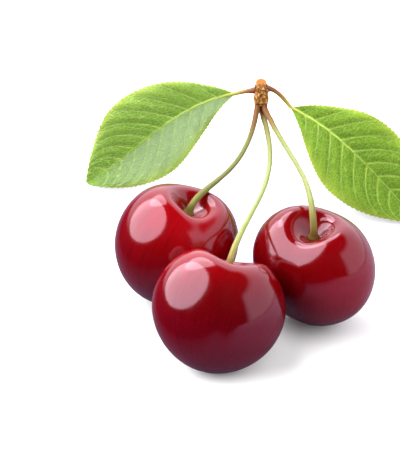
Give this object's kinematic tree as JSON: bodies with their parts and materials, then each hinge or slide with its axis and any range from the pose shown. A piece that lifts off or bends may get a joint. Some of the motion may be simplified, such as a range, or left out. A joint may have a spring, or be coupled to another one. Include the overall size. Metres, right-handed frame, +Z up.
{
  "type": "cherries on stalks",
  "caption": "Bunch of dark red sweet cherries on slender green stalks, joined at a short woody spur with a pair of green leaves, lying as picked.",
  "frame": {"origin": "on the surface that the bunch lies on, under the middle of its bounding box", "axes": "+Z up from the surface, +Y from the fruits towards the spur, +X to the side of the right-hand leaf"},
  "size_m": [0.0712, 0.0896, 0.0285],
  "materials": {
    "cherry_skin": "smooth waxy dark red skin, high gloss",
    "stalk_green": "matt light green, reddish brown towards the spur",
    "spur_bark": "rough tan bark with an orange cut end",
    "scale_brown": "dry papery brown",
    "leaf_green": "satin mid green with raised paler veins"
  },
  "bodies": {
    "root": {"cherry_front": "cherry_skin", "cherry_right": "cherry_skin", "cherry_left": "cherry_skin", "stalk_front": "stalk_green", "stalk_right": "stalk_green", "stalk_left": "stalk_green", "spur": "spur_bark", "bud_scale_1": "scale_brown", "bud_scale_2": "scale_brown", "bud_scale_3": "scale_brown", "bud_scale_4": "scale_brown", "bud_scale_5": "scale_brown", "leaf_left": "leaf_green", "leaf_right": "leaf_green"}
  },
  "joints": []
}
